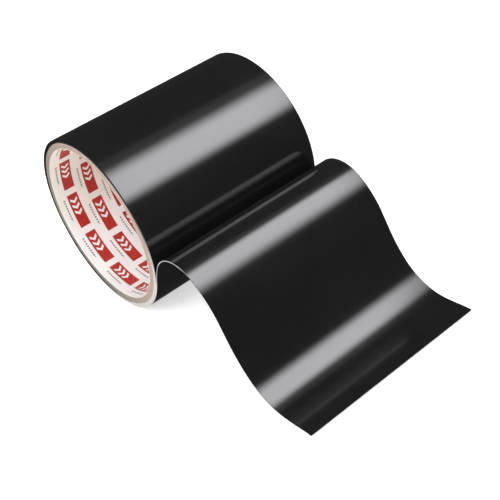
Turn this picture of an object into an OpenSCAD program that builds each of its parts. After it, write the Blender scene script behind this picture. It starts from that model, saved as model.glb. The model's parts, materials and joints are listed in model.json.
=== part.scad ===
// Short roll of wide self-adhesive film on a board core. It lies on its side with the free
// end peeled off over a hump and down on to the surface the roll lies on.
// Origin: centre of the core's bore. +Y along the bore, +X towards the free end, +Z up.

/* [Core] */
// Inside diameter of the core
bore_d = 76.2; // [70:0.1:80]
// Length of the core
core_len = 95; // [80:1:120]
// Thickness of the printed paper that lines the bore
liner_t = 0.16; // [0.1:0.02:0.3]
// Thickness of one kraft board ply
ply_t = 0.45; // [0.35:0.05:0.55]
// Thickness of the white paper that faces the core
facing_t = 0.3; // [0.2:0.05:0.4]

/* [Film] */
// Width of the film, which is slit flush with the core
film_w = 95; // [75:0.1:119]
// Thickness of the film without its adhesive
film_t = 0.22; // [0.15:0.01:0.25]
// Thickness of the adhesive coat on the film's inner face
adhesive_t = 0.08; // [0.05:0.01:0.1]
// Whole turns wound on the core
turns = 5; // [3:1:8]

/* [Lap under the peel line] */
// Angle round the roll where the wound turns hand over to the lap, from +X towards +Z
lap_start = -75; // [-85:1:-60]
// Angle round the roll where the film leaves it
peel_angle = -18; // [-22:1:-14]
// Running clearance between the wound turns and the lap
lap_gap = 0.04; // [0.02:0.01:0.1]

/* [Free end] */
// Bend radius of the riser
riser_r = 70; // [60:1:80]
// Turn of the riser
riser_turn = 9.5; // [8:0.5:11]
// Bend radius of the hump
hump_r = 18.2; // [16:0.1:20]
// Steepness where the hump ends
hump_fall = 36.5; // [33:0.5:40]
// Bend radius of the shoulder
shoulder_r = 40; // [35:1:45]
// Steepness of the straight slope
slope_fall = 64.5; // [60:0.5:68]
// Bend radius where the slope starts to ease
easing_r = 60; // [50:1:70]
// Steepness where the toe starts
toe_fall = 49.5; // [46:0.5:53]
// Bend radius of the toe
toe_r = 28; // [25:0.5:31]
// Steepness where the toe is hinged
toe_hinge_fall = 25; // [15:1:35]
// Rise at the end of the toe
toe_rise = 2.2; // [1:0.1:4]
// Bend radius of the stretch after the toe, which lifts off the bench
lift_r = 80; // [70:1:90]
// Turn of that stretch
lift_turn = 4.1; // [3:0.1:5]
// Bend radius of the last stretch, which curls back down
tip_r = 110; // [90:1:130]
// Turn of the last stretch
tip_turn = 4.5; // [3:0.1:6]

/* [Hidden] */
$fn = 180;
sheet_t = film_t + adhesive_t;
ply_count = 6;
ply_bore_r = bore_d / 2 + liner_t;
facing_bore_r = ply_bore_r + ply_count * ply_t;
core_r = facing_bore_r + facing_t;
// Largest radius of the wound turns, at their outer end
wound_r = core_r + (turns + 1) * sheet_t;
lap_r = wound_r + lap_gap + sheet_t / 2;
// Slit between two hinged lengths of the free end, on the hinge line
hinge_slit = 0.3;
// Turn of each flat facet of the free end's bends
facet_turn = 2;

// Headings are in degrees from +X towards +Z
peel_heading = peel_angle + 90;
hump_heading = peel_heading - riser_turn;
// Heights of the sheet's mid-thickness at both ends of the straight slope
slope_top = lap_r * sin(peel_angle)
    + riser_r * (cos(hump_heading) - cos(peel_heading))
    + hump_r * (cos(hump_fall) - cos(hump_heading))
    + shoulder_r * (cos(slope_fall) - cos(hump_fall));
slope_foot = -wound_r + sheet_t / 2
    + toe_r * (1 - cos(toe_fall))
    + easing_r * (cos(toe_fall) - cos(slope_fall));
slope_len = (slope_top - slope_foot) / sin(slope_fall);

// The sheet's path from the start of the lap: [bend radius, turn, straight length],
// where a positive turn bends towards the left of the direction of travel
PATH = [
    [lap_r, peel_angle - lap_start, 0],
    [riser_r, -riser_turn, 0],
    [hump_r, -hump_heading, 0],
    [hump_r, -hump_fall, 0],
    [shoulder_r, hump_fall - slope_fall, 0],
    [0, 0, slope_len],
    [easing_r, slope_fall - toe_fall, 0],
    [toe_r, toe_fall - toe_hinge_fall, 0],
    [toe_r, toe_hinge_fall + toe_rise, 0],
    [lift_r, lift_turn, 0],
    [tip_r, -tip_turn, 0]
];
// Stretches of the path where each hinged length of the free end starts
HUMP_START = 2;
SLOPE_START = 3;
END_START = 8;

// Travel along one stretch that starts at heading h
function travel(s, h) =
    s[0] == 0 ? s[2] * [cos(h), sin(h)]
    : s[0] * sign(s[1]) * [sin(h + s[1]) - sin(h), cos(h) - cos(h + s[1])];

function heading_at(i) =
    i == 0 ? lap_start + 90 : heading_at(i - 1) + PATH[i - 1][1];

function point_at(i) =
    i == 0 ? lap_r * [cos(lap_start), sin(lap_start)]
    : point_at(i - 1) + travel(PATH[i - 1], heading_at(i - 1));

function stretch_length(s) = s[0] == 0 ? s[2] : s[0] * abs(s[1]) * PI / 180;

function stretch_steps(s) = max(1, ceil(abs(s[1]) / facet_turn));

// Point a fraction u along stretch i, n to the left of the sheet's mid-thickness
function sheet_point(i, u, n) =
    let (part = [PATH[i][0], PATH[i][1] * u, PATH[i][2] * u])
    let (h = heading_at(i) + part[1])
    point_at(i) + travel(part, heading_at(i)) + n * [-sin(h), cos(h)];

// Half the slit, as a fraction of stretch i
function slit_part(i) = hinge_slit / 2 / stretch_length(PATH[i]);

// Points along stretches first to last, cut back by half a slit at each hinge line
function sheet_points(first, last, n) = [
    for (i = [first : last])
        let (from = i == first && first > 0 ? slit_part(i) : 0)
        let (to = i == last && last < len(PATH) - 1 ? 1 - slit_part(i) : 1)
        let (steps = stretch_steps(PATH[i]))
        for (k = [i == first ? 0 : 1 : steps])
            sheet_point(i, from + (to - from) * k / steps, n)
];

function reversed(points) = [for (k = [len(points) - 1 : -1 : 0]) points[k]];

// Stands a shape drawn in X and Y upright, so that its Y becomes +Z
module upright() {
    rotate([90, 0, 0]) children();
}

module tube(inner_r, outer_r, length) {
    upright() difference() {
        cylinder(r = outer_r, h = length, center = true);
        cylinder(r = inner_r, h = length + 1, center = true);
    }
}

// Stretches first to last of the sheet, between n0 and n1 across its thickness
module length_of_sheet(first, last, n0, n1) {
    outline = concat(sheet_points(first, last, n0), reversed(sheet_points(first, last, n1)));
    upright() linear_extrude(height = film_w, center = true) polygon(outline);
}

module film_length(first, last) {
    length_of_sheet(first, last, -sheet_t / 2, sheet_t / 2 - adhesive_t);
}

module adhesive_length(first, last) {
    length_of_sheet(first, last, sheet_t / 2 - adhesive_t, sheet_t / 2);
}

// Band of the film's width, from radius r0 to r1, half way round
module half_turn(r0, r1) {
    rotate_extrude(angle = 180) translate([r0, -film_w / 2]) square([r1 - r0, film_w]);
}

// Spiral of half turns, each half a sheet's thickness larger than the one before. Every
// other half turn is centred half a thickness off the axis, so the halves meet flush.
module wound_spiral(n0, n1) {
    upright() rotate(lap_start)
        for (i = [0 : 2 * turns - 1])
            translate([(i % 2) * sheet_t / 2, 0, 0]) rotate(180 * (i % 2))
                half_turn(core_r + i * sheet_t / 2 + n0, core_r + i * sheet_t / 2 + n1);
}

module core_printed_liner() {
    color("snow") tube(bore_d / 2, ply_bore_r, core_len);
}

module core_ply(i) {
    color("burlywood") tube(ply_bore_r + (i - 1) * ply_t, ply_bore_r + i * ply_t, core_len);
}

module core_white_facing() {
    color("whitesmoke") tube(facing_bore_r, core_r, core_len);
}

module film_wound_turns() {
    color([0.05, 0.05, 0.055]) wound_spiral(adhesive_t, sheet_t);
}

module adhesive_wound_turns() {
    color([0.2, 0.2, 0.22]) wound_spiral(0, adhesive_t);
}

module film_peel_lap() {
    color([0.05, 0.05, 0.055]) film_length(0, HUMP_START - 1);
}

module adhesive_peel_lap() {
    color([0.2, 0.2, 0.22]) adhesive_length(0, HUMP_START - 1);
}

module film_hump() {
    color([0.05, 0.05, 0.055]) film_length(HUMP_START, SLOPE_START - 1);
}

module adhesive_hump() {
    color([0.2, 0.2, 0.22]) adhesive_length(HUMP_START, SLOPE_START - 1);
}

module film_slope() {
    color([0.05, 0.05, 0.055]) film_length(SLOPE_START, END_START - 1);
}

module adhesive_slope() {
    color([0.2, 0.2, 0.22]) adhesive_length(SLOPE_START, END_START - 1);
}

module film_free_end() {
    color([0.05, 0.05, 0.055]) film_length(END_START, len(PATH) - 1);
}

module adhesive_free_end() {
    color([0.2, 0.2, 0.22]) adhesive_length(END_START, len(PATH) - 1);
}

core_printed_liner();
core_ply(1);  // core_ply_1
core_ply(2);  // core_ply_2
core_ply(3);  // core_ply_3
core_ply(4);  // core_ply_4
core_ply(5);  // core_ply_5
core_ply(6);  // core_ply_6
core_white_facing();
film_wound_turns();
adhesive_wound_turns();
film_peel_lap();
adhesive_peel_lap();
film_hump();
adhesive_hump();
film_slope();
adhesive_slope();
film_free_end();
adhesive_free_end();
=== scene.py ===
"""Looks of the short roll of glossy black self-adhesive film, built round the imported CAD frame.

Lengths named in millimetres are multiplied by MM where they become mesh. Angles round the roll go
from +X towards +Z, and headings along the free end are degrees from +X towards +Z.
"""

import json
import math

import bpy
from mathutils import Matrix, Vector


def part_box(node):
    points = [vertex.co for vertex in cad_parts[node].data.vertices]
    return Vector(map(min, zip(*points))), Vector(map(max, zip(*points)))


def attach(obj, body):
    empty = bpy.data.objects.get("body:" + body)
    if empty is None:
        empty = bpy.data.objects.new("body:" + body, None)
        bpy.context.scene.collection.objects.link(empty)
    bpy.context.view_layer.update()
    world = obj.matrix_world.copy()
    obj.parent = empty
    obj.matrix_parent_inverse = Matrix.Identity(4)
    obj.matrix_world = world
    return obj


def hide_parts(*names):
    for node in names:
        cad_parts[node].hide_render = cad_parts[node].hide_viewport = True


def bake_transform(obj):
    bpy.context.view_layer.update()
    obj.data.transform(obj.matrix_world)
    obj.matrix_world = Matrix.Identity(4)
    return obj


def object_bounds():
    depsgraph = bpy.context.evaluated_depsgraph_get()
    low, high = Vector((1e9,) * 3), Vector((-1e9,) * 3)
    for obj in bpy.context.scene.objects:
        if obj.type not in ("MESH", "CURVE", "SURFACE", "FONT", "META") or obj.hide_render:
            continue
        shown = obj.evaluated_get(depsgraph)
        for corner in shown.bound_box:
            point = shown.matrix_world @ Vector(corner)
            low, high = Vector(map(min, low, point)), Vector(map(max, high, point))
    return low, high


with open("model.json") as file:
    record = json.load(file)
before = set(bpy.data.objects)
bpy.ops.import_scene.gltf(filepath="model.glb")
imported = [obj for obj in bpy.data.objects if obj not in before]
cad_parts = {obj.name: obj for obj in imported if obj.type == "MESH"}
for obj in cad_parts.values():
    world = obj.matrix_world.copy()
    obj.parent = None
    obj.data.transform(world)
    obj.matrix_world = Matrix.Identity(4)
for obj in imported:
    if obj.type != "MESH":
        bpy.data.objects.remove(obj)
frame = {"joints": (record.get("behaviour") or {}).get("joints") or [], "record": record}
cad_low, cad_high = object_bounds()

MM = 0.001


# ---------------------------------------------------------------- sizes from the frame
def outer_radius(node):
    """Outer radius of a CAD tube, in millimetres."""
    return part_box(node)[1].z / MM


def half_width(node):
    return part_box(node)[1].y / MM


def joint_place(name):
    """Where a joint's axis crosses the middle plane, as (x, z) in millimetres."""
    place = next(j for j in frame["joints"] if j["name"] == name)["pos_m"]
    return place[0] / MM, place[2] / MM


PLIES = 6
BORE_R = frame["record"]["mounts"][0]["dims"]["r_mm"]
LINER_R = outer_radius("core_printed_liner")
PLY_R = [LINER_R] + [outer_radius(f"core_ply_{i}") for i in range(1, PLIES + 1)]
CORE_R = outer_radius("core_white_facing")
CORE_HALF = half_width("core_ply_1")
FILM_HALF = half_width("film_wound_turns")
FLOOR_Z = cad_low.z / MM

# ---------------------------------------------------------------- the film, as in the CAD
FILM_T = 0.22
ADHESIVE_T = 0.08
SHEET_T = FILM_T + ADHESIVE_T
TURNS = 5
LAP_START = -75
PEEL_ANGLE = -18
LAP_GAP = 0.04
WOUND_R = CORE_R + (TURNS + 1) * SHEET_T
LAP_R = WOUND_R + LAP_GAP + SHEET_T / 2
RISER_R, RISER_TURN = 70, 9.5
HUMP_R, HUMP_FALL = 18.2, 36.5
SHOULDER_R, SLOPE_FALL = 40, 64.5
EASING_R, TOE_FALL = 60, 49.5
TOE_R, TOE_HINGE_FALL, TOE_RISE = 28, 25, 2.2
LIFT_R, LIFT_TURN = 80, 4.1
TIP_R, TIP_TURN = 110, 4.5
PEEL_HEADING = PEEL_ANGLE + 90
HUMP_HEADING = PEEL_HEADING - RISER_TURN


def cosd(angle):
    return math.cos(math.radians(angle))


def sind(angle):
    return math.sin(math.radians(angle))


def slope_length():
    """Length of the straight slope, which brings the toe down to the bench."""
    top = (
        LAP_R * sind(PEEL_ANGLE)
        + RISER_R * (cosd(HUMP_HEADING) - cosd(PEEL_HEADING))
        + HUMP_R * (cosd(HUMP_FALL) - cosd(HUMP_HEADING))
        + SHOULDER_R * (cosd(SLOPE_FALL) - cosd(HUMP_FALL))
    )
    foot = (
        SHEET_T / 2
        - WOUND_R
        + TOE_R * (1 - cosd(TOE_FALL))
        + EASING_R * (cosd(TOE_FALL) - cosd(SLOPE_FALL))
    )
    return (top - foot) / sind(SLOPE_FALL)


# Stretches of the free film's path: (bend radius, turn, straight length)
STRETCHES = [
    (LAP_R, PEEL_ANGLE - LAP_START, 0),
    (RISER_R, -RISER_TURN, 0),
    (HUMP_R, -HUMP_HEADING, 0),
    (HUMP_R, -HUMP_FALL, 0),
    (SHOULDER_R, HUMP_FALL - SLOPE_FALL, 0),
    (0, 0, slope_length()),
    (EASING_R, SLOPE_FALL - TOE_FALL, 0),
    (TOE_R, TOE_FALL - TOE_HINGE_FALL, 0),
    (TOE_R, TOE_HINGE_FALL + TOE_RISE, 0),
    (LIFT_R, LIFT_TURN, 0),
    (TIP_R, -TIP_TURN, 0),
]


def stretch_length(stretch):
    radius, turn, straight = stretch
    return straight if radius == 0 else radius * math.radians(abs(turn))


def travel(stretch, heading):
    """Travel along one stretch that starts at this heading."""
    radius, turn, straight = stretch
    if radius == 0:
        return Vector((cosd(heading), sind(heading))) * straight
    side = math.copysign(radius, turn)
    end = heading + turn
    return Vector((sind(end) - sind(heading), cosd(heading) - cosd(end))) * side


def film_path():
    """(start of each stretch along the film, its place, its heading), with the end last."""
    along = 0.0
    place = Vector((cosd(LAP_START), sind(LAP_START))) * LAP_R
    heading = LAP_START + 90
    marks = [(along, place, heading)]
    for stretch in STRETCHES:
        place = place + travel(stretch, heading)
        heading += stretch[1]
        along += stretch_length(stretch)
        marks.append((along, place, heading))
    return marks


MARKS = film_path()
FILM_END = MARKS[-1][0]


def film_place(along):
    """(place, unit normal towards the film's inner side, heading) at a length along the film."""
    i = max(k for k in range(len(STRETCHES)) if along >= MARKS[k][0] - 1e-9)
    start, place, heading = MARKS[i]
    radius, turn, straight = STRETCHES[i]
    share = (along - start) / stretch_length(STRETCHES[i])
    here = heading + turn * share
    point = place + travel((radius, turn * share, straight * share), heading)
    return point, Vector((-sind(here), cosd(here))), here


def check_against_frame():
    """Stops the script if the film's path here isn't the one that the frame was packed with."""
    for name, mark in (("riser_bend", 2), ("hump_bend", 3), ("toe_bend", 8)):
        off = (MARKS[mark][1] - Vector(joint_place(name))).length
        if off > 0.05:
            raise ValueError(f"the film's path misses {name} by {off:.2f} mm")


check_against_frame()


# ---------------------------------------------------------------- mesh helpers
def make_mesh(name, points, faces, cut_faces=(), sharp_over=35):
    """Object of these points in millimetres. cut_faces are indices of faces in material slot 1."""
    mesh = bpy.data.meshes.new(name)
    mesh.from_pydata([Vector(p) * MM for p in points], [], faces)
    mesh.validate()
    mesh.update()
    obj = bpy.data.objects.new(name, mesh)
    bpy.context.scene.collection.objects.link(obj)
    mesh.polygons.foreach_set("use_smooth", [True] * len(mesh.polygons))
    if cut_faces:
        index = [0] * len(mesh.polygons)
        for i in cut_faces:
            index[i] = 1
        mesh.polygons.foreach_set("material_index", index)
    mesh.set_sharp_from_angle(angle=math.radians(sharp_over))
    return obj


# Distance from a rounded corner to the loop of points that keeps the flat face beside it flat
EDGE_LOOP = 0.2
CORNER_STEPS = 4
# Space left between two layers that touch, so that their faces don't coincide
LAYER_GAP = 0.004


def band_outline(inner, outer, half, rounding, y_steps):
    """Cross-section of a band as (offset, y, is a cut edge), anticlockwise, with rounded corners.

    inner and outer are offsets across the thickness, and half is half of the band's width.
    """
    flat = half - rounding
    loops = [flat * (1 - 2 * k / y_steps) for k in range(1, y_steps)]
    loops = [flat - EDGE_LOOP, *loops, EDGE_LOOP - flat]
    outline = []
    for side, first, last in ((1, outer, inner), (-1, inner, outer)):
        for corner, sense in ((first, 1), (last, -1)):
            pull = math.copysign(rounding, (inner + outer) / 2 - corner)
            for k in range(CORNER_STEPS + 1):
                angle = math.radians(90 * k / CORNER_STEPS)
                across, along = math.sin(angle), math.cos(angle)
                if sense < 0:
                    across, along = along, across
                offset = corner + pull * (1 - along)
                outline.append((offset, side * (half - rounding * (1 - across)), True))
        outline += [(last, side * y, False) for y in loops]
    return outline


def sweep_band(name, stations, outline, place, closed=False, shape=None, sharp_over=35):
    """Band swept through stations. place(station) gives (point, normal) in the XZ plane.

    shape(station, offset, y) may change the offset and y of one outline point.
    """
    points, faces, cuts = [], [], []
    for station in stations:
        point, normal = place(station)[:2]
        for offset, y, _ in outline:
            if shape:
                offset, y = shape(station, offset, y)
            points.append((point.x + normal.x * offset, y, point.y + normal.y * offset))
    size, count = len(outline), len(stations)
    for i in range(count if closed else count - 1):
        a, b = i * size, (i + 1) % count * size
        for k in range(size):
            n = (k + 1) % size
            if outline[k][2] and outline[n][2]:
                cuts.append(len(faces))
            faces.append((a + k, a + n, b + n, b + k))
    if not closed:
        last = (count - 1) * size
        cuts.extend((len(faces), len(faces) + 1))
        faces.append(tuple(range(size - 1, -1, -1)))
        faces.append(tuple(last + k for k in range(size)))
    return make_mesh(name, points, faces, cuts, sharp_over)


def ring_place(angle):
    """Unit circle as a sweep's path, so that an outline's offsets are radii."""
    return Vector((0.0, 0.0)), Vector((cosd(angle), sind(angle)))


def slow_wave(angle, *terms):
    """Smooth unevenness round the roll: a sum of (size, cycles a turn, phase in degrees)."""
    return sum(size * sind(cycles * angle + phase) for size, cycles, phase in terms)


# ---------------------------------------------------------------- material helpers
class Shader:
    """A node material being built. Values are numbers, colours or node outputs."""

    def __init__(self, name, roughness, **constants):
        self.material = bpy.data.materials.new(name)
        self.material.use_nodes = True
        self.tree = self.material.node_tree
        self.main = self.tree.nodes["Principled BSDF"]
        self.main.inputs["Roughness"].default_value = roughness
        for socket, value in constants.items():
            self.main.inputs[socket.replace("_", " ")].default_value = value

    def feed(self, socket, value):
        if isinstance(value, bpy.types.NodeSocket):
            self.tree.links.new(value, socket)
        elif hasattr(value, "__len__") and len(value) == 3 and socket.type == "RGBA":
            socket.default_value = (*value, 1)
        else:
            socket.default_value = value

    def node(self, kind, settings=(), **inputs):
        node = self.tree.nodes.new(kind)
        for key, value in dict(settings).items():
            setattr(node, key, value)
        for key, value in inputs.items():
            self.feed(node.inputs[key.replace("_", " ")], value)
        return node

    def math(self, operation, a, b=0.0, c=0.0):
        node = self.node("ShaderNodeMath", {"operation": operation})
        for socket, value in zip(node.inputs, (a, b, c)):
            self.feed(socket, value)
        return node.outputs[0]

    def place(self):
        """Object coordinates, in metres, as (vector, x, y, z)."""
        vector = self.node("ShaderNodeTexCoord").outputs["Object"]
        split = self.node("ShaderNodeSeparateXYZ", Vector=vector)
        return vector, *split.outputs

    def noise(self, vector, scale, detail=2.0, stretch=(1, 1, 1)):
        moved = self.node("ShaderNodeMapping", Vector=vector, Scale=stretch).outputs[0]
        made = self.node("ShaderNodeTexNoise", Vector=moved, Scale=scale, Detail=detail)
        return made.outputs["Fac"]

    def spread(self, value, low, high, to_low=0.0, to_high=1.0, smooth=False):
        """value from low..high on to to_low..to_high, clamped."""
        kind = {"interpolation_type": "SMOOTHSTEP"} if smooth else {}
        node = self.node(
            "ShaderNodeMapRange",
            kind,
            Value=value,
            From_Min=low,
            From_Max=high,
            To_Min=to_low,
            To_Max=to_high,
        )
        return node.outputs[0]

    def towards(self, x, z, angle):
        """Distance from the bore's axis in this direction round the roll."""
        along_x = self.math("MULTIPLY", x, cosd(angle))
        return self.math("ADD", along_x, self.math("MULTIPLY", z, sind(angle)))

    def from_axis(self, a, b):
        """Distance from the axis that the two coordinates are measured across."""
        squares = self.math("MULTIPLY", a, a), self.math("MULTIPLY", b, b)
        return self.math("SQRT", self.math("ADD", *squares))

    def mix(self, share, a, b):
        node = self.node("ShaderNodeMix", {"data_type": "RGBA"})
        self.feed(node.inputs[0], share)
        self.feed(node.inputs[6], a)
        self.feed(node.inputs[7], b)
        return node.outputs[2]

    def inside(self, value, low, high, soft):
        """1 where value is from low to high, with edges soft wide."""
        rise = self.spread(value, low - soft / 2, low + soft / 2)
        fall = self.spread(value, high - soft / 2, high + soft / 2, 1.0, 0.0)
        return self.math("MULTIPLY", rise, fall)

    def bump(self, height, distance, strength=1.0):
        node = self.node("ShaderNodeBump", Height=height, Distance=distance, Strength=strength)
        self.feed(self.main.inputs["Normal"], node.outputs[0])

    def finish(self, colour, roughness=None):
        self.feed(self.main.inputs["Base Color"], colour)
        if roughness is not None:
            self.feed(self.main.inputs["Roughness"], roughness)
        return self.material


# ---------------------------------------------------------------- materials
BLACK = (0.0064, 0.006, 0.0057)
# Roughness and refractive index of the film's face
GLOSS = 0.14
FILM_IOR = 1.8


def gloss_film(name, roughness, ripple):
    """Soft glossy PVC: near black, faint calender ripple and slightly uneven gloss."""
    s = Shader(name, roughness, IOR=FILM_IOR)
    vector, *_ = s.place()
    cloud = s.noise(vector, 35, 3)
    fine = s.noise(vector, 900, 2)
    colour = s.mix(s.spread(cloud, 0.35, 0.65), BLACK, tuple(c * 1.25 for c in BLACK))
    s.bump(s.noise(vector, 260, 2), ripple * MM)
    fine_gloss = s.spread(fine, 0.3, 0.7, -0.012, 0.012)
    gloss = s.math("ADD", fine_gloss, s.spread(cloud, 0.3, 0.7, -0.01, 0.01))
    return s.finish(colour, s.math("ADD", gloss, roughness))


# Angle round the roll that the painted highlight on the slit edges faces, and how far from the
# bore's axis that way the painted highlight starts and is full
SHEEN_FACING = -42
SHEEN_START, SHEEN_FULL = 10, 42
# On the free end the painted highlight fades out between these distances along X
FADE_START, FADE_END = 63, 72


def cut_edge():
    """Slit edge of the film: black, with a painted highlight along the side that faces the light.
    """
    s = Shader("film_cut_edge", 0.5)
    vector, x, _, z = s.place()
    # The painted highlight faces one direction on the roll, and fades out past the hump on the free
    # end.
    facing = s.towards(x, z, SHEEN_FACING)
    sheen_share = s.spread(facing, SHEEN_START * MM, SHEEN_FULL * MM, smooth=True)
    on_free_end = s.spread(x, WOUND_R * MM, (WOUND_R + 3) * MM)
    sheen_share = s.math("MAXIMUM", sheen_share, s.math("MULTIPLY", on_free_end, 0.5))
    up_to_hump = s.spread(x, FADE_START * MM, FADE_END * MM, 1.0, 0.0, smooth=True)
    patchy = s.spread(s.noise(vector, 220, 4), 0.3, 0.7, 0.88, 1.0)
    white = s.math("MULTIPLY", s.math("MULTIPLY", sheen_share, up_to_hump), patchy)
    # Black edge, lightened to pale grey where the painted highlight lies
    colour = s.mix(white, (0.012, 0.012, 0.012), (0.66, 0.63, 0.6))
    s.bump(s.noise(vector, 2500, 2), 0.004 * MM)
    return s.finish(colour)


# Angle round the core that the board's painted lit side faces, and the colours of its pale fibres,
# its dark fibres and its glued faces in painted shade (greyer and darker) and in painted light
# (warmer and lighter)
PAINTED_LIT_SIDE = 30
PALE_FIBRE = (0.265, 0.245, 0.21), (0.46, 0.355, 0.285)
DARK_FIBRE = (0.2, 0.18, 0.15), (0.35, 0.26, 0.205)
GLUED_FACE = (0.13, 0.115, 0.095), (0.225, 0.167, 0.13)
GLUE_DEPTH = 0.05


def kraft_board(index):
    """Kraft paper ply: fibres along the ply, a shade of its own, darker at its glued faces.

    The board has painted shade, greyer and darker, on one side of the core, and painted light,
    warmer and lighter, on the other.
    """
    s = Shader(f"kraft_ply_{index}", 0.85, Specular_IOR_Level=0.25)
    vector, x, _, z = s.place()
    fibre = s.noise(vector, 1400, 4, stretch=(1, 0.25, 1))
    blotch = s.noise(vector, 160, 3)
    radius = s.from_axis(x, z)
    low, high = PLY_R[index - 1] * MM, PLY_R[index] * MM
    glue = GLUE_DEPTH * MM
    inner_glue = s.spread(radius, low, low + glue)
    body = s.math("MULTIPLY", inner_glue, s.spread(radius, high - glue, high, 1, 0))
    shade = 1 + 0.06 * sind(137 * index)
    # Painted light and shade: lighter and warmer towards one side of the core, darker and greyer
    # towards the other
    lit_side_share = s.spread(s.towards(x, z, PAINTED_LIT_SIDE), -35 * MM, 25 * MM, smooth=True)
    pale = s.mix(lit_side_share, *(tuple(c * shade for c in colour) for colour in PALE_FIBRE))
    dark = s.mix(lit_side_share, *(tuple(c * shade for c in colour) for colour in DARK_FIBRE))
    glued = s.mix(lit_side_share, *GLUED_FACE)
    colour = s.mix(s.spread(fibre, 0.3, 0.7), dark, pale)
    colour = s.mix(s.spread(blotch, 0.35, 0.7, 0.0, 0.35), colour, pale)
    colour = s.mix(body, glued, colour)
    s.bump(fibre, 0.08 * MM)
    return s.finish(colour)


def white_paper():
    """White paper, greyed where the saw cut its ends, with painted shade that darkens the ends
    nearly to black on the -X side.
    """
    s = Shader("core_facing_paper", 0.75, Specular_IOR_Level=0.3)
    vector, x, y, z = s.place()
    fibre = s.noise(vector, 1500, 4)
    face = s.mix(s.spread(fibre, 0.3, 0.7), (0.7, 0.68, 0.64), (0.82, 0.8, 0.77))
    # Painted shade: the sawn ends go nearly black towards -X and stay pale grey towards +X
    lit_side_share = s.spread(s.towards(x, z, 0), -10 * MM, 30 * MM, smooth=True)
    sawn_and_shaded = s.mix(lit_side_share, (0.04, 0.037, 0.033), (0.46, 0.43, 0.39))
    sawn_and_shaded = s.mix(s.spread(fibre, 0.3, 0.7, 0.0, 0.12), sawn_and_shaded, (0.3, 0.27, 0.24))
    # The sawn look fades in from 0.4 to 0.2 mm short of each end
    end = s.spread(s.math("ABSOLUTE", y), (CORE_HALF - 0.4) * MM, (CORE_HALF - 0.2) * MM)
    s.bump(fibre, 0.05 * MM)
    return s.finish(s.mix(end, face, sawn_and_shaded))


# The liner's print: rows of plain red bars with three white chevrons, and a dashed line by each.
# Lengths are in millimetres, along the print or across its rows.
SEAM_ANGLE = 35
PRINT_PITCH = 20.86
BAR_LENGTH = 17.5
BAR_HEIGHT = 5.7
ROW_PITCH = 11.25
ROW_START = 5.5
FIRST_BAR = 15.8
STAGGER = 7.8
CHEVRONS = 3
CHEVRON_PITCH = 3.1
# Where the white stripe starts and ends within one pitch, and half of its height
CHEVRON_STRIPE = 0.75, 2.2
CHEVRON_HALF = 1.85
# How far the dashed line lies before its bar, where it starts and ends, and its dashes' size
DASH_ROW = 2.4
DASHES_SPAN = 1.2, 12.6
DASH_HEIGHT = 0.8
DASH_PITCH = 1.35


def printed_paper():
    s = Shader("printed_liner_paper", 0.5)
    vector, x, y, z = s.place()
    turn = s.math("ARCTAN2", z, x)
    turn = s.math("SUBTRACT", turn, math.radians(SEAM_ANGLE))
    turn = s.math("FRACT", s.math("DIVIDE", turn, 2 * math.pi))
    around = s.math("MULTIPLY", turn, 2 * math.pi * BORE_R)
    depth = s.math("ADD", s.math("DIVIDE", y, MM), CORE_HALF)
    rows = s.math("DIVIDE", s.math("SUBTRACT", depth, ROW_START - DASH_ROW - 1), ROW_PITCH)
    row = s.math("FLOOR", rows)
    # Measured from the bar's edge nearest the near end of the core
    up = s.math("SUBTRACT", s.math("MULTIPLY", s.math("FRACT", rows), ROW_PITCH), DASH_ROW + 1)
    odd = s.math("FLOORED_MODULO", row, 2.0)
    shift = s.math("MULTIPLY_ADD", odd, STAGGER, FIRST_BAR)
    cells = s.math("DIVIDE", s.math("SUBTRACT", around, shift), PRINT_PITCH)
    along = s.math("MULTIPLY", s.math("FRACT", cells), PRINT_PITCH)
    ink_edge = 0.12
    bar_span = s.inside(along, 0.2, BAR_LENGTH + 0.2, ink_edge)
    bar = s.math("MULTIPLY", bar_span, s.inside(up, 0, BAR_HEIGHT, ink_edge))
    off_middle = s.math("ABSOLUTE", s.math("SUBTRACT", up, BAR_HEIGHT / 2))
    slant = s.math("MULTIPLY_ADD", off_middle, 0.8, along)
    steps = s.math("FRACT", s.math("DIVIDE", slant, CHEVRON_PITCH))
    steps = s.math("MULTIPLY", steps, CHEVRON_PITCH)
    stripe = s.inside(steps, *CHEVRON_STRIPE, ink_edge)
    group = s.inside(slant, CHEVRON_PITCH, (CHEVRONS + 1) * CHEVRON_PITCH, 0.01)
    tall = s.spread(off_middle, CHEVRON_HALF, CHEVRON_HALF + ink_edge, 1.0, 0.0)
    chevron = s.math("MULTIPLY", s.math("MULTIPLY", stripe, group), tall)
    dash_span = s.inside(along, *DASHES_SPAN, ink_edge)
    dash = s.math("MULTIPLY", dash_span, s.inside(up, -DASH_ROW, -DASH_ROW + DASH_HEIGHT, 0.2))
    gaps = s.inside(s.math("FRACT", s.math("DIVIDE", along, DASH_PITCH)), 0.1, 0.75, 0.1)
    dash = s.math("MULTIPLY", dash, gaps)
    fibre = s.noise(vector, 1300, 4)
    cloud = s.noise(vector, 90, 3)
    cloudy = s.spread(cloud, 0.3, 0.7)
    # Creamier in the upper part of the bore, and white in the lower part
    cream = s.mix(cloudy, (0.825, 0.79, 0.715), (0.885, 0.855, 0.785))
    white = s.mix(cloudy, (0.81, 0.805, 0.815), (0.88, 0.875, 0.885))
    paper = s.mix(s.spread(s.towards(x, z, -90), 0, 30 * MM, smooth=True), cream, white)
    red = s.mix(s.spread(fibre, 0.3, 0.7), (0.38, 0.018, 0.011), (0.46, 0.026, 0.017))
    ink = s.math("MULTIPLY", bar, s.math("SUBTRACT", 1.0, chevron))
    colour = s.mix(dash, paper, (0.2, 0.19, 0.19))
    colour = s.mix(ink, colour, red)
    s.bump(fibre, 0.015 * MM)
    return s.finish(colour, s.spread(ink, 0, 1, 0.5, 0.38))


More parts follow.
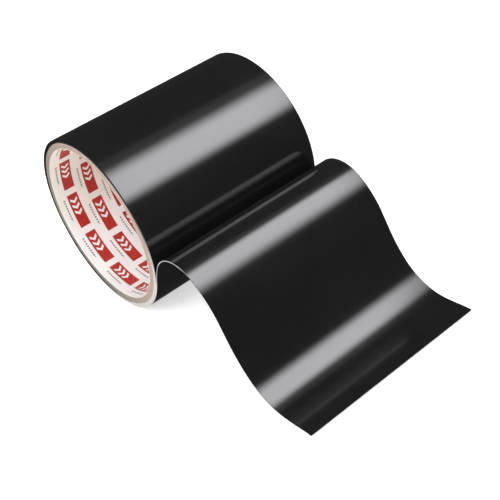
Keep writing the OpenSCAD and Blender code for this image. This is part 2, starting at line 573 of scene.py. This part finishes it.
def pale_floor():
    """White acrylic table, lit a little from below, so that the shadows on it stay pale.

    Away from the roll the light from below grows, as the lamps' own light falls off.
    """
    s = Shader("pale_floor", 0.9, Specular_IOR_Level=0.0, Emission_Color=(1, 1, 1, 1))
    vector, x, y, _ = s.place()
    away = s.from_axis(x, y)
    s.feed(s.main.inputs["Emission Strength"], s.spread(away, 0.5, 1.6, 0.62, 1.0))
    return s.finish(s.mix(s.noise(vector, 3, 2), (0.86, 0.86, 0.86), (0.88, 0.88, 0.88)))


FILM = gloss_film("black_film_gloss", GLOSS, 0.0035)
ADHESIVE = gloss_film("adhesive_gloss", GLOSS, 0.0045)
CUT_EDGE = cut_edge()


def give(obj, *materials):
    for material in materials:
        obj.data.materials.append(material)


# ---------------------------------------------------------------- the board core
CORE_STEPS = 240


# How far the uneven ends of the core's tubes stay inside the core's length
END_SET_IN = 0.06


def core_tube(name, inner, outer, rounding, waves, material, node):
    """One tube of the core with softly rounded, slightly uneven ends, in place of its CAD node."""
    outline = band_outline(
        outer - LAYER_GAP, inner + LAYER_GAP, CORE_HALF, rounding, y_steps=1
    )

    def uneven(angle, offset, y):
        if abs(y) <= CORE_HALF - 2 * rounding:
            return offset, y
        end = slow_wave(angle, *waves) - END_SET_IN
        return offset, y + end * math.copysign(1, y)

    angles = [360 * k / CORE_STEPS for k in range(CORE_STEPS)]
    tube = sweep_band(name, angles, outline, ring_place, closed=True, shape=uneven)
    give(tube, material, material)
    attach(tube, "roll")
    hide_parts(node)


def printed_liner():
    """Printed paper that lines the bore, with its end lapped over its start at the seam."""
    # Angles round the bore: how far the end laps over, and where it starts to lift and has lifted
    overlap = 9.0
    lift_start, lift_end = 352, 360
    thickness = LINER_R - BORE_R
    end_gap, rounding, y_steps, steps = 0.05, 0.03, 24, 300
    outline = band_outline(0.0, -0.7 * thickness, CORE_HALF - end_gap, rounding, y_steps)
    stations = [(360 + overlap) * k / steps for k in range(steps + 1)]

    def round_the_bore(along):
        lift = min(max((along - lift_start) / (lift_end - lift_start), 0.0), 1.0)
        radius = LINER_R - 0.01 - 0.75 * thickness * lift * lift * (3 - 2 * lift)
        direction = Vector((cosd(SEAM_ANGLE + along), sind(SEAM_ANGLE + along)))
        return direction * radius, direction

    liner = sweep_band("printed_liner", stations, outline, round_the_bore)
    paper = printed_paper()
    give(liner, paper, paper)
    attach(liner, "roll")
    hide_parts("core_printed_liner")


def board_core():
    printed_liner()
    for i in range(1, PLIES + 1):
        waves = [(0.03, 2, 50 * i), (0.02, 5, 83 * i), (0.012, 11 + i, 31 * i)]
        core_tube(
            f"board_ply_{i}",
            PLY_R[i - 1],
            PLY_R[i],
            0.07,
            waves,
            kraft_board(i),
            f"core_ply_{i}",
        )
    core_tube(
        "facing_paper",
        PLY_R[-1],
        CORE_R,
        0.05,
        [(0.03, 3, 20), (0.015, 7, 140)],
        white_paper(),
        "core_white_facing",
    )


# ---------------------------------------------------------------- the wound turns
WOUND_STEPS = 240
# The wound strip runs on from its last whole turn to the peel line, where the lap leaves it
WOUND_END = 360 * TURNS + PEEL_ANGLE - LAP_START


def wound_place(turned):
    """Inner face of the wound strip after turning this far from its start on the core."""
    angle = LAP_START + turned
    direction = Vector((cosd(angle), sind(angle)))
    return direction * (CORE_R + SHEET_T * turned / 360), direction


def drift(turned):
    """Sideways wander of the strip as it was wound, which shows as steps on the end face."""
    return slow_wave(turned / 4, (0.05, 1, 10), (0.035, 2.7, 75)) + slow_wave(turned, (0.012, 3, 0))


# The adhesive stops this far short of the film's slit edges
ADHESIVE_INSET = 0.04
# Radii of the two layers' edges
FILM_ROUNDING = 0.07
ADHESIVE_ROUNDING = 0.03


def wound_strip(name, inner, outer, half, rounding, y_steps, materials, node):
    """One layer of the wound strip, from inner to outer across the sheet's thickness."""
    outline = band_outline(inner, outer, half, rounding, y_steps)
    count = math.ceil(WOUND_STEPS * WOUND_END / 360)
    stations = [WOUND_END * k / count for k in range(count + 1)]

    def wander(turned, offset, y):
        # Past the last whole turn the strip thins, so that it fits under the lap
        share = 1 - max(0.0, turned / 360 - TURNS)
        return offset * share, y + drift(turned)

    strip = sweep_band(name, stations, outline, wound_place, shape=wander)
    give(strip, *materials)
    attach(strip, "roll")
    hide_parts(node)
    return strip


def wound_turns():
    adhesive = wound_strip(
        "wound_adhesive",
        LAYER_GAP,
        ADHESIVE_T,
        FILM_HALF - ADHESIVE_INSET,
        ADHESIVE_ROUNDING,
        1,
        (ADHESIVE, CUT_EDGE),
        "adhesive_wound_turns",
    )
    film = wound_strip(
        "wound_film",
        ADHESIVE_T,
        SHEET_T - LAYER_GAP,
        FILM_HALF,
        FILM_ROUNDING,
        8,
        (FILM, CUT_EDGE),
        "film_wound_turns",
    )


# ---------------------------------------------------------------- the free end
# Longest step and largest turn from one station along the film to the next
MOST_STEP = 0.5
MOST_TURN = 1.0
# Length over which the start of the lap feathers out, and the share of thickness it starts with
LAP_FEATHER = 6.0
LAP_START_SHARE = 0.06
FREE_Y_STEPS = 12
# Where one visual length hands over to the next: on the hump's riser side, and on the slope
HUMP_SEAM_HEADING = 40
HUMP_SEAM = MARKS[2][0] + HUMP_R * math.radians(HUMP_HEADING - HUMP_SEAM_HEADING)
SLOPE_SEAM = (MARKS[5][0] + MARKS[6][0]) / 2


def film_stations(start, end):
    """Lengths along the film from start to end, close enough together for each bend."""
    stops = [start] + [m[0] for m in MARKS if start < m[0] < end] + [end]
    stations = [start]
    for a, b in zip(stops, stops[1:]):
        turn = abs(film_place(b - 1e-6)[2] - film_place(a + 1e-6)[2])
        count = max(1, math.ceil((b - a) / MOST_STEP), math.ceil(turn / MOST_TURN))
        stations += [a + (b - a) * k / count for k in range(1, count + 1)]
    return stations


def thinned(along, offset, y):
    """Feathers the start of the lap, so that it runs out on to the turn below it."""
    share = min(1.0, LAP_START_SHARE + along / LAP_FEATHER)
    inner_face = SHEET_T / 2
    return inner_face - (inner_face - offset) * share, y


def free_length(name, start, end, bodies, bend_start, bend_end, nodes, held, rests_on):
    """One length of the free film and its adhesive coat, swept along the film's path."""
    stations = film_stations(start, end)
    top, bottom = SHEET_T / 2, -SHEET_T / 2
    between = top - ADHESIVE_T
    coat_half = FILM_HALF - ADHESIVE_INSET
    for layer, inner, outer, half, rounding, face, slot in (
        ("adhesive", between, top, coat_half, ADHESIVE_ROUNDING, ADHESIVE, "adhesive"),
        ("film", bottom, between, FILM_HALF, FILM_ROUNDING, FILM, "black_film"),
    ):
        outline = band_outline(outer, inner, half, rounding, FREE_Y_STEPS)
        piece = sweep_band(f"{name}_{layer}", stations, outline, film_place, shape=thinned)
        give(piece, face, CUT_EDGE)
        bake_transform(piece)
        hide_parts(*(f"{layer}_{n}" for n in nodes))


def at(place):
    """Point of the middle plane from (x, z) in millimetres."""
    return place[0] * MM, 0.0, place[1] * MM


def bend_ends(hinge, before, after):
    """Where a bend starts and ends: lengths before and after the hinge along the heading there."""
    place = MARKS[hinge][1]
    heading = MARKS[hinge][2]
    forward = Vector((cosd(heading), sind(heading)))
    return at(place - forward * before), at(place + forward * after)


def free_film():
    free_length(
        "riser",
        0.0,
        HUMP_SEAM,
        ("peel_lap", "hump"),
        *bend_ends(2, 11, 6.4),
        ["peel_lap"],
        "stretched",
        ["wound_film"],
    )
    free_length(
        "hump",
        HUMP_SEAM,
        SLOPE_SEAM,
        ("hump", "slope"),
        *bend_ends(3, 11.5, 18),
        ["hump", "slope"],
        "draped",
        ["riser_film", "toe_film"],
    )
    free_length(
        "toe",
        SLOPE_SEAM,
        FILM_END,
        ("slope", "free_end"),
        *bend_ends(8, 12, 12),
        ["free_end"],
        "laid",
        ["hump_film"],
    )


# ---------------------------------------------------------------- floor, light and camera
def soften_edges(data, fade):
    """Fades a rectangular light out towards its edges, over this share of its width and length."""
    data.use_nodes = True
    tree = data.node_tree
    geometry = tree.nodes.new("ShaderNodeNewGeometry")
    split = tree.nodes.new("ShaderNodeSeparateXYZ")
    tree.links.new(geometry.outputs["Parametric"], split.inputs[0])
    level = None
    for axis, share in enumerate(fade):
        for start, end in ((0, share), (1, 1 - share)):
            ramp = tree.nodes.new("ShaderNodeMapRange")
            ramp.interpolation_type = "SMOOTHSTEP"
            ramp.inputs["From Min"].default_value = start
            ramp.inputs["From Max"].default_value = end
            tree.links.new(split.outputs[axis], ramp.inputs["Value"])
            if level is None:
                level = ramp.outputs[0]
                continue
            both = tree.nodes.new("ShaderNodeMath")
            both.operation = "MULTIPLY"
            tree.links.new(level, both.inputs[0])
            tree.links.new(ramp.outputs[0], both.inputs[1])
            level = both.outputs[0]
    tree.links.new(level, tree.nodes["Emission"].inputs["Strength"])


def area_light(
    name,
    place,
    facing,
    size,
    power,
    across=(1, 0, 0),
    glossy=True,
    diffuse=True,
    colour=(1, 1, 1),
    fade=None,
):
    """Rectangular light. facing is the way it shines, and across the direction of its width.

    The film mirrors a glossy light, and a diffuse light also lights the bench and the papers.
    """
    data = bpy.data.lights.new(name, "AREA")
    data.shape = "RECTANGLE"
    data.size, data.size_y = size
    data.energy = power
    data.color = colour
    if fade:
        soften_edges(data, fade)
    obj = bpy.data.objects.new(name, data)
    bpy.context.scene.collection.objects.link(obj)
    back = -Vector(facing).normalized()
    side = (Vector(across) - back * Vector(across).dot(back)).normalized()
    axes = Matrix((side, back.cross(side), back)).transposed()
    obj.matrix_world = Matrix.Translation(place) @ axes.to_4x4()
    obj.visible_glossy = glossy
    obj.visible_diffuse = diffuse
    obj.visible_camera = False


def pale_room():
    """Plain white walls and ceiling behind everything, which light and mirror nothing."""
    radius, sides = 3000, 48
    foot, ceiling = -200, 4000
    angles = [360 * k / sides for k in range(sides)]
    points = [(radius * cosd(a), radius * sind(a), z) for z in (foot, ceiling) for a in angles]
    walls = [(k, (k + 1) % sides, sides + (k + 1) % sides, sides + k) for k in range(sides)]
    room = make_mesh("room", points, [*walls, tuple(range(sides, 2 * sides))])
    white = {"Emission_Color": (1, 1, 1, 1), "Emission_Strength": 1.0}
    s = Shader("pale_room", 1.0, Specular_IOR_Level=0.0, **white)
    give(room, s.finish((0, 0, 0)))
    room.visible_diffuse = room.visible_glossy = room.visible_shadow = False


def studio():
    scene = bpy.context.scene
    scene.view_settings.view_transform = "Standard"
    reach = 3000
    corners = [(x * reach, y * reach, 0) for x, y in ((-1, -1), (1, -1), (1, 1), (-1, 1))]
    floor = make_mesh("floor", corners, [(0, 1, 2, 3)])
    # A hair below the roll, so that the floor and the film don't coincide
    floor.location.z = (FLOOR_Z - 0.02) * MM
    give(floor, pale_floor())
    floor.visible_glossy = False
    pale_room()
    world = bpy.data.worlds.new("room")
    world.use_nodes = True
    background = world.node_tree.nodes["Background"]
    background.inputs["Color"].default_value = (1, 1, 1, 1)
    background.inputs["Strength"].default_value = 0.04
    scene.world = world
    # The long softbox whose reflection is the bright band on the roll, the hump and the toe
    area_light(
        "softbox",
        (0.15, 0.123, 0.249),
        (-0.365, 0, -0.931),
        (0.275, 0.326),
        1.46,
        across=(0.931, 0, -0.365),
        colour=(0.98, 0.98, 1.03),
        fade=(0.33, 0.3),
    )
    # Its faint spill on the ceiling beside it
    area_light("spill", (0.02, 0.123, 0.295), (0, 0, -1), (0.12, 0.326), 0.024, fade=(0.2, 0.29))
    # Dimmer panels that the film mirrors on its other sides
    for name, place, facing, size in (
        ("rear_panel", (-0.02, -0.42, 0.5), (0, 0.6, -0.8), (0.16, 0.5)),
        ("left_panel", (-0.12, 0.72, 0.46), (0.2, -0.8, -0.55), (0.16, 0.4)),
    ):
        area_light(name, place, facing, size, 0.5, diffuse=False, fade=(0.3, 0.3))
    # Even light for the bench and the papers, which the film doesn't mirror
    area_light("overhead", (0.5, -0.4, 1.6), (-0.3, 0.24, -1), (2.0, 2.0), 26.0, glossy=False)
    # Fill that reaches into the core
    area_light("fill", (0.2, -0.7, 0.6), (-0.2, 0.7, -0.6), (0.5, 0.5), 5.8, glossy=False)


def camera():
    """The camera stands in front, to the right and above, and is rolled a little clockwise."""
    place = Vector((0.3508, -0.2003, 0.2457))
    aim = Vector((0.0463, 0.0, -0.0217))
    roll = -11.67
    data = bpy.data.cameras.new("camera")
    data.sensor_width = 36.0
    data.lens = 71.5
    obj = bpy.data.objects.new("camera", data)
    bpy.context.scene.collection.objects.link(obj)
    forward = (aim - place).normalized()
    level = forward.cross(Vector((0, 0, 1))).normalized()
    up = level.cross(forward)
    right = level * cosd(roll) + up * sind(roll)
    axes = Matrix((right, right.cross(forward), -forward)).transposed()
    obj.matrix_world = Matrix.Translation(place) @ axes.to_4x4()
    bpy.context.scene.camera = obj


board_core()
wound_turns()
free_film()
studio()
camera()
